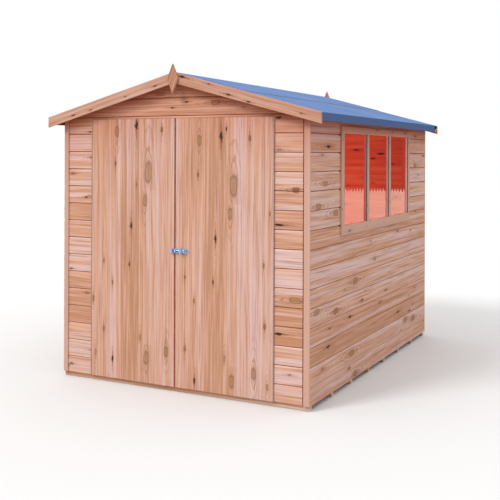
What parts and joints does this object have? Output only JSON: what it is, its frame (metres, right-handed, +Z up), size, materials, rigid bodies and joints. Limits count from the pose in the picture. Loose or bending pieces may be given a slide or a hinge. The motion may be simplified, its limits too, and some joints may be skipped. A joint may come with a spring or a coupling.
{
  "type": "garden shed",
  "caption": "Apex softwood garden shed with shiplap walls, ledged double doors in the gable end, a fixed side window and a felted roof.",
  "frame": {"origin": "centre of the footprint on the ground, under the bearers", "axes": "+Z up, -Y out of the double doors, +X to the right as seen from in front of the doors, on the window side"},
  "size_m": [1.97, 2.534, 2.0385],
  "materials": {
    "shiplap": "planed, untreated",
    "door_boards": "planed, untreated",
    "trim_wood": "planed, untreated",
    "frame_wood": "sawn",
    "bearer_wood": "sawn, pressure treated",
    "board_sheet": "sheet board",
    "roof_felt": "mineral felt",
    "glazing": "clear",
    "galvanised": "zinc plated"
  },
  "bodies": {
    "shed": {"floor_bearers": "bearer_wood", "floor_deck": "board_sheet", "front_wall_left": "shiplap", "front_wall_right": "shiplap", "front_gable_wall": "shiplap", "back_wall": "shiplap", "left_wall": "shiplap", "right_wall_lower": "shiplap", "right_wall_front": "shiplap", "right_wall_rear": "shiplap", "right_wall_head": "shiplap", "front_frame": "frame_wood", "back_frame": "frame_wood", "left_frame": "frame_wood", "right_frame": "frame_wood", "window_head": "trim_wood", "window_sill": "trim_wood", "window_jambs": "trim_wood", "window_mullions": "trim_wood", "window_panes": "glazing", "roof_sheet_left": "board_sheet", "roof_sheet_right": "board_sheet", "roof_battens_left": "frame_wood", "roof_battens_right": "frame_wood", "roof_truss": "frame_wood", "roof_felt_left": "roof_felt", "roof_felt_right": "roof_felt", "roof_felt_ridge": "roof_felt", "front_barge_boards": "trim_wood", "back_barge_boards": "trim_wood", "front_finial": "trim_wood", "back_finial": "trim_wood", "corner_trims": "trim_wood", "left_hinge_jamb_leaf": "galvanised", "right_hinge_jamb_leaf": "galvanised"},
    "left_door": {"left_door_boards": "door_boards", "left_door_battens": "frame_wood", "left_hinge_door_leaf": "galvanised", "bolt_keep": "galvanised"},
    "right_door": {"right_door_boards": "door_boards", "right_door_battens": "frame_wood", "right_hinge_door_leaf": "galvanised", "bolt_plate": "galvanised"},
    "bolt": {"bolt_rod": "galvanised"}
  },
  "joints": [
    {"name": "left_door_hinge", "type": "hinge", "parent": "shed", "child": "left_door", "pos_m": [-0.663, -1.2, 0.872], "axis": [0, 0, -1], "range_deg": [0, 110]},
    {"name": "right_door_hinge", "type": "hinge", "parent": "shed", "child": "right_door", "pos_m": [0.663, -1.2, 0.872], "axis": [0, 0, 1], "range_deg": [0, 110]},
    {"name": "bolt_slide", "type": "slide", "parent": "right_door", "child": "bolt", "axis": [-1, 0, 0], "range_m": [0, 0.027]}
  ]
}
